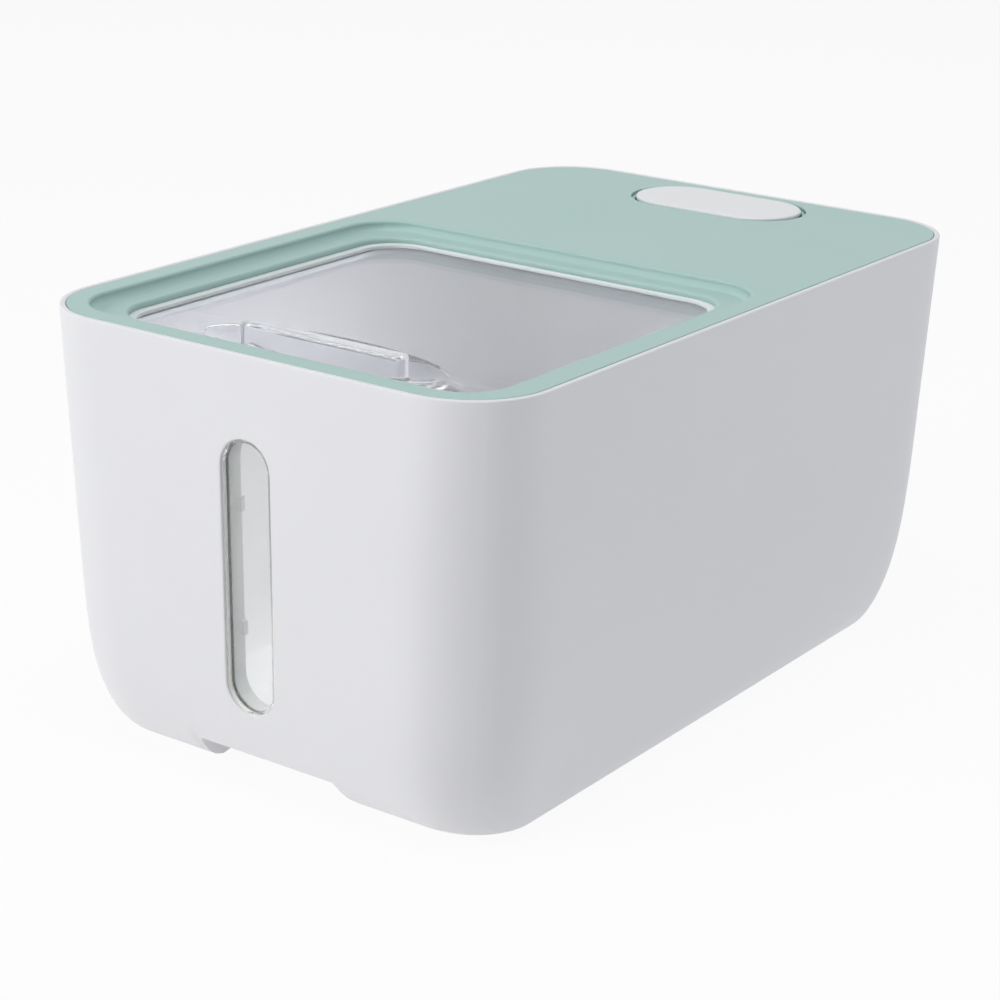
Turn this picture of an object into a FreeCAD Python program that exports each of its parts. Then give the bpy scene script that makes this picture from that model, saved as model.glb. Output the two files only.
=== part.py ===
import FreeCAD, Part
import Sketcher
import math
import os
import re

# Pet food storage container: a white bin with a sight window, a mint lift-off lid,
# a clear cover that slides back under the lid, and a small cap over a desiccant tray.
# The bin stands on the XY plane, centred on the Z axis, with its window towards -Y.

SIZES = {
    # bin
    "body_width": 230.0,
    "body_length": 375.0,
    "body_height": 185.0,
    "wall": 2.5,
    "draft_run": 4.6,
    "top_corner": 36.0,
    "bottom_corner": 44.0,
    "side_round_run": 14.5,
    "side_round_rise": 80.0,
    "end_round_run": 31.0,
    "end_round_rise": 48.0,
    "channel_width": 70.6,
    "channel_flare": 3.5,
    "channel_depth": 15.5,
    "shelf_drop": 14.0,
    "shelf_thick": 3.0,
    "shelf_reach": 7.5,
    # sight window
    "window_width": 24.4,
    "window_tall": 114.0,
    "window_middle": 94.5,
    "window_flange": 4.5,
    "lens_thick": 1.6,
    "lens_inset": 0.9,
    "lens_gap": 0.1,
    "window_seal_thick": 1.0,
    "retainer_depth": 7.0,
    "tab_reach": 1.6,
    "tab_tall": 6.0,
    "tab_thick": 2.0,
    "tab_spread": 26.0,
    # lid
    "lid_gap": 0.3,
    "lid_thick": 2.5,
    "skirt_inset": 1.0,
    "skirt_wall": 2.0,
    "seal_high": 2.6,
    "seal_wide": 4.0,
    "seat_gap": 0.1,
    "edge_band": 9.8,
    "step_depth": 4.4,
    "step_thick": 2.6,
    "step_wall": 2.0,
    "deck_long": 156.7,
    "step_corner": 22.0,
    "opening_side": 22.9,
    "opening_lead": 21.3,
    "ledge_back": 10.4,
    "opening_corner": 20.0,
    "boss_radius": 3.0,
    "boss_inset": 5.7,
    # sliding cover
    "ring_reach": 1.5,
    "ring_wide": 5.7,
    "ring_high": 1.8,
    "cover_gap": 0.2,
    "cover_thick": 2.5,
    "cover_lap_side": 7.7,
    "cover_lap_front": 8.6,
    "cover_lap_back": 8.4,
    "cover_corner": 22.0,
    "scoop_half_long": 58.5,
    "scoop_half_wide": 20.0,
    "scoop_depth": 9.0,
    "scoop_wall": 2.0,
    "scoop_lead": 23.9,
    "fin_half_long": 39.5,
    "fin_wide": 8.0,
    "fin_rise": 5.6,
    "fin_root": 7.5,
    "fin_wall": 1.6,
    "fin_corner": 1.5,
    "fin_hollow_corner": 0.5,
    # runners that carry the cover, and their screws
    "runner_wall": 2.2,
    "runner_lip": 7.0,
    "runner_thick": 2.2,
    "runner_gap": 0.3,
    "runner_setback": 15.7,
    "flange_setback": 34.7,
    "screw_shank": 1.3,
    "screw_play": 0.1,
    "screw_head": 2.4,
    "screw_crown": 1.7,
    "screw_head_high": 1.6,
    "screw_long": 5.0,
    "screw_end": 20.0,
    # desiccant tray, pack and cap
    "cap_half_long": 43.0,
    "cap_half_wide": 22.0,
    "cap_thick": 2.2,
    "cap_proud": 0.9,
    "cap_skirt": 1.5,
    "cap_deep": 3.0,
    "cap_lead": 28.7,
    "cap_gap": 0.3,
    "hole_gap": 1.6,
    "tray_wall": 1.5,
    "tray_floor": 1.5,
    "tray_flange": 3.0,
    "tray_lift": 1.0,
    "tray_slot": 2.5,
    "tray_slot_half": 9.5,
    "tray_pitch": 8.0,
    "pack_long": 64.0,
    "pack_wide": 28.0,
    "pack_thick": 2.4,
    "pack_gap": 0.1,
}
SCREWS_EACH_SIDE = 3
TRAY_SLOTS = 8
LOWER_STEPS = (0.0, 0.015, 0.06, 0.14, 0.25, 0.4, 0.6, 0.8, 1.0)
UPPER_STEPS = (0.25, 0.5, 0.75, 1.0)
BOWL_STEPS = (0.0, 0.42, 0.76, 0.96)

doc = FreeCAD.newDocument("storage_container")
sheet = doc.addObject("Spreadsheet::Sheet", "Sizes")
for row, (word, value) in enumerate(SIZES.items(), start=1):
    sheet.set("A%d" % row, word)
    sheet.set("B%d" % row, str(value))
    sheet.setAlias("B%d" % row, word)
doc.recompute()
NAMES = re.compile(r"\b(" + "|".join(sorted(SIZES, key=len, reverse=True)) + r")\b")


def bind(thing, prop, formula):
    """Tie a property to a formula of named sizes."""
    thing.setExpression(prop, NAMES.sub(r"Sizes.\1", formula))


def value_of(formula):
    """The number that a formula of named sizes gives, for shapes made without a sketch."""
    total = sheet.evalExpression(NAMES.sub(r"Sizes.\1", formula))
    return float(total)


def new_body(label):
    body = doc.addObject("PartDesign::Body", label)
    body.Label = label
    return body


def plane_sketch(body, plane, offset="0"):
    """An empty sketch on one of the body's origin planes, moved along its normal."""
    sketch = body.newObject("Sketcher::SketchObject", body.Label + "_sketch")
    face = [item for item in body.Origin.OriginFeatures if item.Role == plane][0]
    sketch.AttachmentSupport = [(face, "")]
    sketch.MapMode = "FlatFace"
    bind(sketch, "AttachmentOffset.Base.z", offset)
    return sketch


def pin(sketch, kind, where, start, formula):
    """A bound distance from the sketch's origin to a point of its geometry."""
    spot = sketch.addConstraint(Sketcher.Constraint(kind, -1, 1, where[0], where[1], start))
    bind(sketch, "Constraints[%d]" % spot, formula)


def add_rounded(sketch, half_x, half_y, corner, mid_y="0"):
    """A rounded rectangle about the sketch's Y axis, centred at mid_y."""
    first = sketch.GeometryCount
    wide, bend = value_of(half_x), value_of(corner)
    low, high = value_of("(%s) - (%s)" % (mid_y, half_y)), value_of("(%s) + (%s)" % (mid_y, half_y))
    near, left, right, far = low + bend, bend - wide, wide - bend, high - bend
    lines = [((right, low), (left, low)), ((-wide, near), (-wide, far)),
             ((left, high), (right, high)), ((wide, far), (wide, near))]
    arcs = [((left, near), 180), ((left, far), 90), ((right, far), 0), ((right, near), 270)]
    for start, end in lines:
        sketch.addGeometry(Part.LineSegment(FreeCAD.Vector(*start, 0), FreeCAD.Vector(*end, 0)), False)
    for centre, turn in arcs:
        ring = Part.Circle(FreeCAD.Vector(*centre, 0), FreeCAD.Vector(0, 0, 1), bend)
        sketch.addGeometry(Part.ArcOfCircle(ring, math.radians(turn), math.radians(turn + 90)), False)
    for side in range(4):
        sketch.addConstraint(Sketcher.Constraint("Tangent", first + side, 2, first + 4 + side, 2))
        sketch.addConstraint(Sketcher.Constraint("Tangent", first + 4 + side, 1, first + (side + 1) % 4, 1))
    for side in range(3):
        sketch.addConstraint(Sketcher.Constraint("Equal", first + 4, first + 5 + side))
    for side in range(4):
        sketch.addConstraint(Sketcher.Constraint(("Horizontal", "Vertical")[side % 2], first + side))
    pin(sketch, "DistanceX", (first + 3, 1), wide, half_x)
    pin(sketch, "DistanceX", (first + 1, 1), -wide, "-(%s)" % half_x)
    pin(sketch, "DistanceY", (first, 1), low, "(%s) - (%s)" % (mid_y, half_y))
    pin(sketch, "DistanceY", (first + 2, 1), high, "(%s) + (%s)" % (mid_y, half_y))
    spot = sketch.addConstraint(Sketcher.Constraint("Radius", first + 4, bend))
    bind(sketch, "Constraints[%d]" % spot, corner)


def add_slot(sketch, half_long, half_wide, mid_y="0", upright=False):
    """A round-ended slot about the sketch's Y axis, lying along X or standing along Y."""
    first = sketch.GeometryCount
    run = "(%s) - (%s)" % (half_long, half_wide)
    reach, side, middle = value_of(run), value_of(half_wide), value_of(mid_y)
    turn = 90 if upright else 0
    along = FreeCAD.Vector(0, reach, 0) if upright else FreeCAD.Vector(reach, 0, 0)
    across = FreeCAD.Vector(-side, 0, 0) if upright else FreeCAD.Vector(0, side, 0)
    centre = FreeCAD.Vector(0, middle, 0)
    for sign in (-1, 1):
        start, end = centre + (across + along) * sign, centre + (across - along) * sign
        sketch.addGeometry(Part.LineSegment(start, end), False)
    for sign in (1, -1):
        low = math.radians(turn - 90 * sign)
        ring = Part.Circle(centre + along * sign, FreeCAD.Vector(0, 0, 1), side)
        sketch.addGeometry(Part.ArcOfCircle(ring, low, low + math.pi), False)
    sketch.addConstraint(Sketcher.Constraint("Tangent", first, 2, first + 2, 1))
    sketch.addConstraint(Sketcher.Constraint("Tangent", first + 2, 2, first + 1, 1))
    sketch.addConstraint(Sketcher.Constraint("Tangent", first + 1, 2, first + 3, 1))
    sketch.addConstraint(Sketcher.Constraint("Tangent", first + 3, 2, first, 1))
    if upright:
        pin(sketch, "DistanceX", (first + 2, 3), 0.0, "0")
        pin(sketch, "DistanceX", (first + 3, 3), 0.0, "0")
        pin(sketch, "DistanceY", (first + 2, 3), middle + reach, "(%s) + %s" % (mid_y, run))
        pin(sketch, "DistanceY", (first + 3, 3), middle - reach, "(%s) - (%s)" % (mid_y, run))
    else:
        pin(sketch, "DistanceY", (first + 2, 3), middle, mid_y)
        pin(sketch, "DistanceY", (first + 3, 3), middle, mid_y)
        pin(sketch, "DistanceX", (first + 2, 3), reach, run)
        pin(sketch, "DistanceX", (first + 3, 3), -reach, "-(%s)" % run)
    spot = sketch.addConstraint(Sketcher.Constraint("Radius", first + 2, side))
    bind(sketch, "Constraints[%d]" % spot, half_wide)


def add_polygon(sketch, points):
    """A closed polygon whose corners are pairs of formulas."""
    first = sketch.GeometryCount
    guess = [(value_of(x), value_of(y)) for x, y in points]
    count = len(points)
    for index in range(count):
        start = FreeCAD.Vector(*guess[index], 0)
        end = FreeCAD.Vector(*guess[(index + 1) % count], 0)
        sketch.addGeometry(Part.LineSegment(start, end), False)
    for index in range(count):
        nearest = first + (index + 1) % count
        sketch.addConstraint(Sketcher.Constraint("Coincident", first + index, 2, nearest, 1))
    for index, (x, y) in enumerate(points):
        pin(sketch, "DistanceX", (first + index, 1), guess[index][0], x)
        pin(sketch, "DistanceY", (first + index, 1), guess[index][1], y)


def add_ellipse(sketch, half_long, half_wide, mid_y="0"):
    """An ellipse lying along X about the sketch's Y axis."""
    centre = FreeCAD.Vector(0, value_of(mid_y), 0)
    long, wide = value_of(half_long), value_of(half_wide)
    ring = sketch.addGeometry(Part.Ellipse(centre + FreeCAD.Vector(long, 0, 0),
                                           centre + FreeCAD.Vector(0, wide, 0), centre), False)
    sketch.exposeInternalGeometry(ring)
    major, minor = ring + 1, ring + 2
    pin(sketch, "DistanceX", (major, 1), long, half_long)
    pin(sketch, "DistanceY", (major, 1), centre.y, mid_y)
    pin(sketch, "DistanceX", (major, 2), -long, "-(%s)" % half_long)
    pin(sketch, "DistanceY", (major, 2), centre.y, mid_y)
    pin(sketch, "DistanceY", (minor, 1), centre.y + wide, "(%s) + (%s)" % (mid_y, half_wide))


def add_rect(sketch, left, right, low, high):
    add_polygon(sketch, [(left, low), (right, low), (right, high), (left, high)])


def add_circles(sketch, places, radius):
    """One circle of the same radius at each pair of formulas."""
    for x, y in places:
        spot = sketch.addGeometry(Part.Circle(FreeCAD.Vector(value_of(x), value_of(y), 0),
                                              FreeCAD.Vector(0, 0, 1), value_of(radius)), False)
        pin(sketch, "DistanceX", (spot, 3), value_of(x), x)
        pin(sketch, "DistanceY", (spot, 3), value_of(y), y)
        size = sketch.addConstraint(Sketcher.Constraint("Radius", spot, value_of(radius)))
        bind(sketch, "Constraints[%d]" % size, radius)


def grow(body, kind, sketch, length, backwards=False, midplane=False):
    """A Pad or Pocket of a sketch. A pocket cuts against the sketch's normal unless reversed."""
    feature = body.newObject("PartDesign::" + kind, body.Label + "_" + kind.lower())
    feature.Profile = sketch
    bind(feature, "Length", length)
    feature.Reversed = backwards
    feature.SideType = "Symmetric" if midplane else "One side"
    sketch.Visibility = False
    return feature


def layer(body, low, high, draw, *sizes, **more):
    """A Pad between two heights, with its outline drawn by a sketch function."""
    sketch = plane_sketch(body, "XY_Plane", low)
    draw(sketch, *sizes, **more)
    return grow(body, "Pad", sketch, "(%s) - (%s)" % (high, low))


def cut_layer(body, low, high, draw, *sizes, **more):
    """A Pocket between two heights."""
    sketch = plane_sketch(body, "XY_Plane", high)
    draw(sketch, *sizes, **more)
    return grow(body, "Pocket", sketch, "(%s) - (%s)" % (high, low))


def ring_outline(sketch, half_x, half_y, corner, inner, mid_y="0"):
    """Two rounded rectangles, the inner one smaller by the ring's width."""
    add_rounded(sketch, half_x, half_y, corner, mid_y)
    add_rounded(sketch, "(%s) - (%s)" % (half_x, inner), "(%s) - (%s)" % (half_y, inner),
                "(%s) - (%s)" % (corner, inner), mid_y)


# Section of the bin at a height: an ellipse quarter rounds each side and end into the floor,
# and the walls draw in by the draft.
def round_in(height, run, rise):
    return "%s * (1 - sqrt(1 - (max(0; %s - (%s)) / %s) ^ 2))" % (run, rise, height, rise)


def section(height):
    """Half width, half length and corner radius of the bin's outside at a height."""
    draft = "draft_run * (1 - (%s) / body_height)" % height
    side = round_in(height, "side_round_run", "side_round_rise")
    end = round_in(height, "end_round_run", "end_round_rise")
    corner = "top_corner + (bottom_corner - top_corner) * (1 - (%s) / body_height)" % height
    return ("body_width / 2 - %s - %s" % (draft, side), "body_length / 2 - %s - %s" % (draft, end),
            "%s - (%s + %s) / 2" % (corner, side, end))


def bin_loft(label, inside):
    """The bin's outside, or its inside one wall in and raised by the floor."""
    body = new_body(label)
    heights = ["side_round_rise * %g" % step for step in LOWER_STEPS]
    heights += ["side_round_rise + (body_height - side_round_rise) * %g" % step for step in UPPER_STEPS]
    sketches = []
    for height in heights:
        half_x, half_y, corner = section(height)
        if inside:
            place = "(%s) + wall * (1 - (%s) / body_height)" % (height, height)
            half_x, half_y, corner = ["(%s) - wall" % item for item in (half_x, half_y, corner)]
        else:
            place = height
        sketch = plane_sketch(body, "XY_Plane", place)
        add_rounded(sketch, half_x, half_y, corner)
        sketch.Visibility = False
        sketches.append(sketch)
    loft = body.newObject("PartDesign::AdditiveLoft", label + "_loft")
    loft.Profile = sketches[0]
    loft.Sections = sketches[1:]
    loft.Ruled = True
    return body


def tilt_to_wall(body):
    """Stand a window piece in the front wall's outer face, leaned back by the draft."""
    bind(body, "Placement.Base.y", "draft_run * (1 - window_middle / body_height) - body_length / 2")
    bind(body, "Placement.Base.z", "window_middle")
    body.Placement.Rotation = FreeCAD.Rotation(FreeCAD.Vector(1, 0, 0), 0)
    bind(body, "Placement.Rotation.Angle", "atan(draft_run / body_height)")
    bind(body, "Placement.Rotation.Axis.x", "1")


def wall_layer(body, inner, outer, draw, *sizes, **more):
    """A Pad between two distances out from the front wall's face, along the local -Y."""
    sketch = plane_sketch(body, "XZ_Plane", inner)
    draw(sketch, *sizes, **more)
    return grow(body, "Pad", sketch, "(%s) - (%s)" % (outer, inner))


def slot_ring(sketch, half_long, half_wide, inner, mid_y="0", upright=False):
    add_slot(sketch, half_long, half_wide, mid_y, upright)
    add_slot(sketch, "(%s) - (%s)" % (half_long, inner), "(%s) - (%s)" % (half_wide, inner), mid_y, upright)


# Heights of the lid's layers, from the rim down.
STEP_TOP = "body_height - step_depth"
STEP_UNDER = "body_height - step_depth - step_thick"
PLATE_UNDER = "body_height - lid_thick"
SHELF_TOP = "body_height - shelf_drop"
SEAL_LOW = "body_height - shelf_drop + seat_gap"
SEAL_TOP = "body_height - shelf_drop + seat_gap + seal_high"
COVER_TOP = "body_height - step_depth - step_thick - ring_high - cover_gap"
COVER_UNDER = COVER_TOP + " - cover_thick"
LID_HALF_X = "body_width / 2 - wall - lid_gap"
LID_HALF_Y = "body_length / 2 - wall - lid_gap"
LID_CORNER = "top_corner - wall - lid_gap"
STEP_BACK = "(%s - deck_long)" % LID_HALF_Y
OPEN_SIDE = "(%s - opening_side)" % LID_HALF_X
OPEN_FRONT = "(%s - opening_lead)" % LID_HALF_Y
OPEN_BACK = "(%s - ledge_back)" % STEP_BACK
OPEN_MID = "(%s - %s) / 2" % (OPEN_BACK, OPEN_FRONT)
OPEN_HALF = "(%s + %s) / 2" % (OPEN_BACK, OPEN_FRONT)
COVER_SIDE = "(%s + cover_lap_side)" % OPEN_SIDE
COVER_FRONT = "(%s + cover_lap_front)" % OPEN_FRONT
COVER_BACK = "(%s + cover_lap_back)" % OPEN_BACK
SCOOP_MID = "(scoop_lead - %s)" % OPEN_FRONT
RUNNER_HALF = "(%s - runner_setback)" % LID_HALF_Y
FLANGE_HALF = "(%s - flange_setback)" % LID_HALF_Y
CAP_MID = "(%s - cap_lead)" % LID_HALF_Y
CAP_TOP = "body_height + cap_proud"
TRAY_LOW = COVER_TOP + " + tray_lift"
TRAY_IN = "hole_gap - cap_gap - tray_wall"
WINDOW_HALF = "window_tall / 2"
WINDOW_SIDE = "window_width / 2"


def make_bin():
    outer = bin_loft("bin_outer", False)
    channel = plane_sketch(outer, "XZ_Plane")
    foot = "channel_width / 2 + 2 * channel_flare"
    add_polygon(channel, [("-(%s)" % foot, "-channel_depth"), ("-channel_width / 2", "channel_depth"),
                          ("channel_width / 2", "channel_depth"), (foot, "-channel_depth")])
    grow(outer, "Pocket", channel, "body_length * 2", midplane=True)

    cavity = bin_loft("bin_cavity", True)
    roof = plane_sketch(cavity, "XZ_Plane")
    add_polygon(roof, [("-(channel_width / 2 + channel_flare + wall)", "0"),
                       ("-(channel_width / 2 + wall)", "channel_depth + wall"),
                       ("channel_width / 2 + wall", "channel_depth + wall"),
                       ("channel_width / 2 + channel_flare + wall", "0")])
    grow(cavity, "Pocket", roof, "body_length * 2", midplane=True)
    cut_layer(cavity, SHELF_TOP + " - shelf_thick", SHELF_TOP, ring_outline, "body_width / 2 + wall",
              "body_length / 2 + wall", "top_corner + wall", "2 * wall + shelf_reach")

    cutter = new_body("window_cut")
    wall_layer(cutter, "-4 * wall", "wall", add_slot, WINDOW_HALF, WINDOW_SIDE, upright=True)
    wall_layer(cutter, "-4 * wall", "-wall", add_slot, WINDOW_HALF + " + window_flange + lid_gap",
               WINDOW_SIDE + " + window_flange + lid_gap", upright=True)
    tilt_to_wall(cutter)
    hollow = doc.addObject("Part::Cut", "bin_hollow")
    hollow.Base = outer
    hollow.Tool = cavity
    shell = doc.addObject("Part::Cut", "body_shell")
    shell.Base = hollow
    shell.Tool = cutter
    return [shell]


def make_window():
    """The clear lens with its flange, the seal in front of the flange and the frame behind it."""
    seal_out = "-wall"
    seal_in = "-(wall + window_seal_thick)"
    lens_in = "-(wall + window_seal_thick + lens_thick)"
    frame_in = "-(wall + window_seal_thick + lens_thick + retainer_depth)"
    flange = (WINDOW_HALF + " + window_flange", WINDOW_SIDE + " + window_flange")

    lens = new_body("window_lens")
    wall_layer(lens, lens_in, seal_in, add_slot, *flange, upright=True)
    wall_layer(lens, seal_in, "-lens_inset", add_slot, WINDOW_HALF + " - lens_gap",
               WINDOW_SIDE + " - lens_gap", upright=True)

    seal = new_body("window_seal")
    wall_layer(seal, seal_in, seal_out, slot_ring, *flange, "window_flange - lens_gap", upright=True)

    frame = new_body("window_retainer")
    wall_layer(frame, frame_in, lens_in, slot_ring, *flange, "window_flange", upright=True)
    for side in ("-", ""):
        for level in ("-", ""):
            edges = ["%s(window_width / 2 + window_flange / 2)" % side, "%s(window_width / 2 - tab_reach)" % side]
            left, right = edges if side == "-" else edges[::-1]
            wall_layer(frame, frame_in, frame_in + " + tab_thick", add_rect, left, right,
                       "%stab_spread - tab_tall / 2" % level, "%stab_spread + tab_tall / 2" % level)
    for piece in (lens, seal, frame):
        tilt_to_wall(piece)
    return [lens, seal, frame]


def screw_places():
    """Centres of the bosses and screws along both long sides of the lid."""
    middle = (SCREWS_EACH_SIDE - 1) / 2
    across = "(%s - boss_inset)" % LID_HALF_X
    return [(side + across, "(%s - screw_end) * %g" % (FLANGE_HALF, step / middle - 1))
            for side in ("-", "") for step in range(SCREWS_EACH_SIDE)]


def make_lid():
    """Top plate, skirt, sunken step with its opening, cap hole and screw bosses in one moulding."""
    lid = new_body("lid_frame")
    layer(lid, PLATE_UNDER, "body_height", add_rounded, LID_HALF_X, LID_HALF_Y, LID_CORNER)
    layer(lid, SEAL_TOP, PLATE_UNDER, ring_outline, LID_HALF_X + " - skirt_inset", LID_HALF_Y + " - skirt_inset",
          LID_CORNER + " - skirt_inset", "skirt_wall")
    step_mid = "(%s - (%s - edge_band)) / 2" % (STEP_BACK, LID_HALF_Y)
    step_half = "(%s + %s - edge_band) / 2" % (STEP_BACK, LID_HALF_Y)
    step_side = LID_HALF_X + " - edge_band"
    layer(lid, STEP_UNDER, PLATE_UNDER, add_rounded, step_side + " + step_wall", step_half + " + step_wall",
          "step_corner + step_wall", mid_y=step_mid)
    cut_layer(lid, STEP_TOP, "body_height", add_rounded, step_side, step_half, "step_corner", mid_y=step_mid)
    cut_layer(lid, STEP_UNDER, STEP_TOP, add_rounded, OPEN_SIDE, OPEN_HALF, "opening_corner", mid_y=OPEN_MID)
    cut_layer(lid, PLATE_UNDER, "body_height", add_slot, "cap_half_long + hole_gap", "cap_half_wide + hole_gap",
              mid_y=CAP_MID)
    layer(lid, STEP_UNDER, PLATE_UNDER, add_circles, screw_places(), "boss_radius")
    cut_layer(lid, STEP_UNDER, STEP_UNDER + " + screw_long - runner_thick + screw_play", add_circles,
              screw_places(), "screw_shank + screw_play")

    seal = new_body("lid_seal")
    layer(seal, SEAL_LOW, SEAL_TOP, ring_outline, LID_HALF_X + " - skirt_inset", LID_HALF_Y + " - skirt_inset",
          LID_CORNER + " - skirt_inset", "seal_wide")
    ring = new_body("cover_seal")
    outer = " - ring_reach + ring_wide"
    layer(ring, STEP_UNDER + " - ring_high", STEP_UNDER, ring_outline, OPEN_SIDE + outer, OPEN_HALF + outer,
          "opening_corner" + outer, "ring_wide", mid_y=OPEN_MID)
    return [lid, seal, ring]


def bowl(body, kind, extra):
    """A scoop of ellipses through the cover's top, each as wide as half an ellipsoid is at its depth."""
    rings = []
    for step in BOWL_STEPS:
        shrink = "sqrt(1 - %g ^ 2)" % step
        ring = plane_sketch(body, "XY_Plane", "%s - (scoop_depth + %s) * %g" % (COVER_TOP, extra, step))
        add_ellipse(ring, "(scoop_half_long + %s) * %s" % (extra, shrink),
                    "(scoop_half_wide + %s) * %s" % (extra, shrink), SCOOP_MID)
        ring.Visibility = False
        rings.append(ring)
    loft = body.newObject("PartDesign::%sLoft" % kind, "bowl_" + kind.lower())
    loft.Profile = rings[0]
    loft.Sections = rings[1:]
    loft.Ruled = True


def make_cover():
    """Clear cover: a plate with an oval finger scoop and a hollow fin standing across it."""
    cover = new_body("slide_cover")
    mid = "(%s - %s) / 2" % (COVER_BACK, COVER_FRONT)
    half = "(%s + %s) / 2" % (COVER_BACK, COVER_FRONT)
    layer(cover, COVER_UNDER, COVER_TOP, add_rounded, COVER_SIDE, half, "cover_corner", mid_y=mid)
    bowl(cover, "Additive", "scoop_wall")
    bowl(cover, "Subtractive", "0")
    fin_low = COVER_TOP + " - fin_root"
    fin_top = COVER_TOP + " + fin_rise"
    layer(cover, fin_low, fin_top, add_rounded, "fin_half_long", "fin_wide / 2", "fin_corner", mid_y=SCOOP_MID)
    cut_layer(cover, COVER_TOP + " - scoop_depth - 2 * scoop_wall", fin_top + " - fin_wall", add_rounded,
              "fin_half_long - fin_wall", "fin_wide / 2 - fin_wall", "fin_hollow_corner", mid_y=SCOOP_MID)
    return [cover]


def make_runner(label, side):
    """One runner: a flange screwed to the lid, a wall beside the cover and a lip under it."""
    runner = new_body(label)
    inner = COVER_SIDE + " + runner_gap"
    wall = inner + " + runner_wall"
    reach = LID_HALF_X + " - skirt_inset - skirt_wall - runner_gap"
    lip = inner + " - runner_lip"
    lip_top = COVER_UNDER + " - cover_gap"
    lip_low = lip_top + " - runner_thick"

    def strip(near, far, low, high, half):
        ends = ["%s(%s)" % (side, near), "%s(%s)" % (side, far)]
        left, right = ends if side == "" else ends[::-1]
        return layer(runner, low, high, add_rect, left, right, "-" + half, half)

    strip(inner, wall, lip_low, STEP_UNDER, RUNNER_HALF)
    strip(lip, wall, lip_low, lip_top, RUNNER_HALF)
    strip(inner, reach, STEP_UNDER + " - runner_thick", STEP_UNDER, FLANGE_HALF)
    holes = [place for place in screw_places() if place[0].startswith("-") == (side == "-")]
    cut_layer(runner, STEP_UNDER + " - runner_thick", STEP_UNDER, add_circles, holes, "screw_shank + screw_play")
    return [runner]


def make_screws():
    """Round-headed screws that hold the runners to the lid's bosses, as separate solids."""
    under = value_of(STEP_UNDER + " - runner_thick")
    shank = value_of("screw_shank")
    head = value_of("screw_head")
    high = value_of("screw_head_high")
    solids = []
    for x, y in screw_places():
        base = FreeCAD.Vector(value_of(x), value_of(y), under)
        stem = Part.makeCylinder(shank, value_of("screw_long"), base)
        cap = Part.makeCone(value_of("screw_crown"), head, high, base - FreeCAD.Vector(0, 0, high))
        solids.append(stem.fuse(cap).removeSplitter())
    screws = doc.addObject("Part::Feature", "runner_screws")
    screws.Shape = Part.makeCompound(solids)
    return [screws]


def make_tray():
    """The slotted tray under the lid, the desiccant pack on its floor and the cap on top."""
    tray = new_body("desiccant_tray")
    gap = " + hole_gap - cap_gap"
    floor_top = TRAY_LOW + " + tray_floor"
    rim = CAP_TOP + " - cap_thick - cap_gap"
    layer(tray, TRAY_LOW, rim, add_slot, "cap_half_long" + gap, "cap_half_wide" + gap, mid_y=CAP_MID)
    layer(tray, PLATE_UNDER + " - tray_wall", PLATE_UNDER, add_slot, "cap_half_long + tray_flange",
          "cap_half_wide + tray_flange", mid_y=CAP_MID)
    cut_layer(tray, floor_top, rim, add_slot, "cap_half_long + " + TRAY_IN, "cap_half_wide + " + TRAY_IN,
              mid_y=CAP_MID)
    slots = plane_sketch(tray, "XY_Plane", floor_top)
    for step in range(TRAY_SLOTS):
        centre = "tray_pitch * %g" % (step - (TRAY_SLOTS - 1) / 2)
        add_rect(slots, centre + " - tray_slot / 2", centre + " + tray_slot / 2",
                 CAP_MID + " - tray_slot_half", CAP_MID + " + tray_slot_half")
    grow(tray, "Pocket", slots, "tray_floor")

    pack = new_body("desiccant_pack")
    low = floor_top + " + pack_gap"
    layer(pack, low, low + " + pack_thick", add_rounded, "pack_long / 2", "pack_wide / 2", "pack_thick",
          mid_y=CAP_MID)

    cap = new_body("desiccant_cap")
    layer(cap, CAP_TOP + " - cap_thick", CAP_TOP, add_slot, "cap_half_long", "cap_half_wide", mid_y=CAP_MID)
    skirt = "%s - cap_gap" % TRAY_IN
    layer(cap, CAP_TOP + " - cap_thick - cap_deep", CAP_TOP + " - cap_thick", slot_ring,
          "cap_half_long + " + skirt, "cap_half_wide + " + skirt, "cap_skirt", mid_y=CAP_MID)
    return [tray, pack, cap]


parts = make_bin() + make_window() + make_lid() + make_cover()
parts += make_runner("runner_left", "-") + make_runner("runner_right", "") + make_screws() + make_tray()
doc.recompute()

faults = [item.Name for item in doc.Objects if "Invalid" in item.State or "Error" in item.State]
faults += [item.Label for item in parts if item.Shape.isNull() or not item.Shape.isValid()]
if faults:
    raise RuntimeError("not built: " + ", ".join(faults))
os.makedirs("parts", exist_ok=True)
for item in parts:
    shape = item.Shape
    box = shape.BoundBox
    print("%-18s solids %2d  volume %9.0f  x %7.1f %7.1f  y %7.1f %7.1f  z %6.1f %6.1f" % (
        item.Label, len(shape.Solids), shape.Volume, box.XMin, box.XMax, box.YMin, box.YMax, box.ZMin, box.ZMax))
    shape.exportStep("parts/%s.step" % item.Label)
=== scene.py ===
import math

import bmesh
import bpy
import numpy as np
from mathutils import Matrix, Vector
from mathutils.geometry import tessellate_polygon


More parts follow.
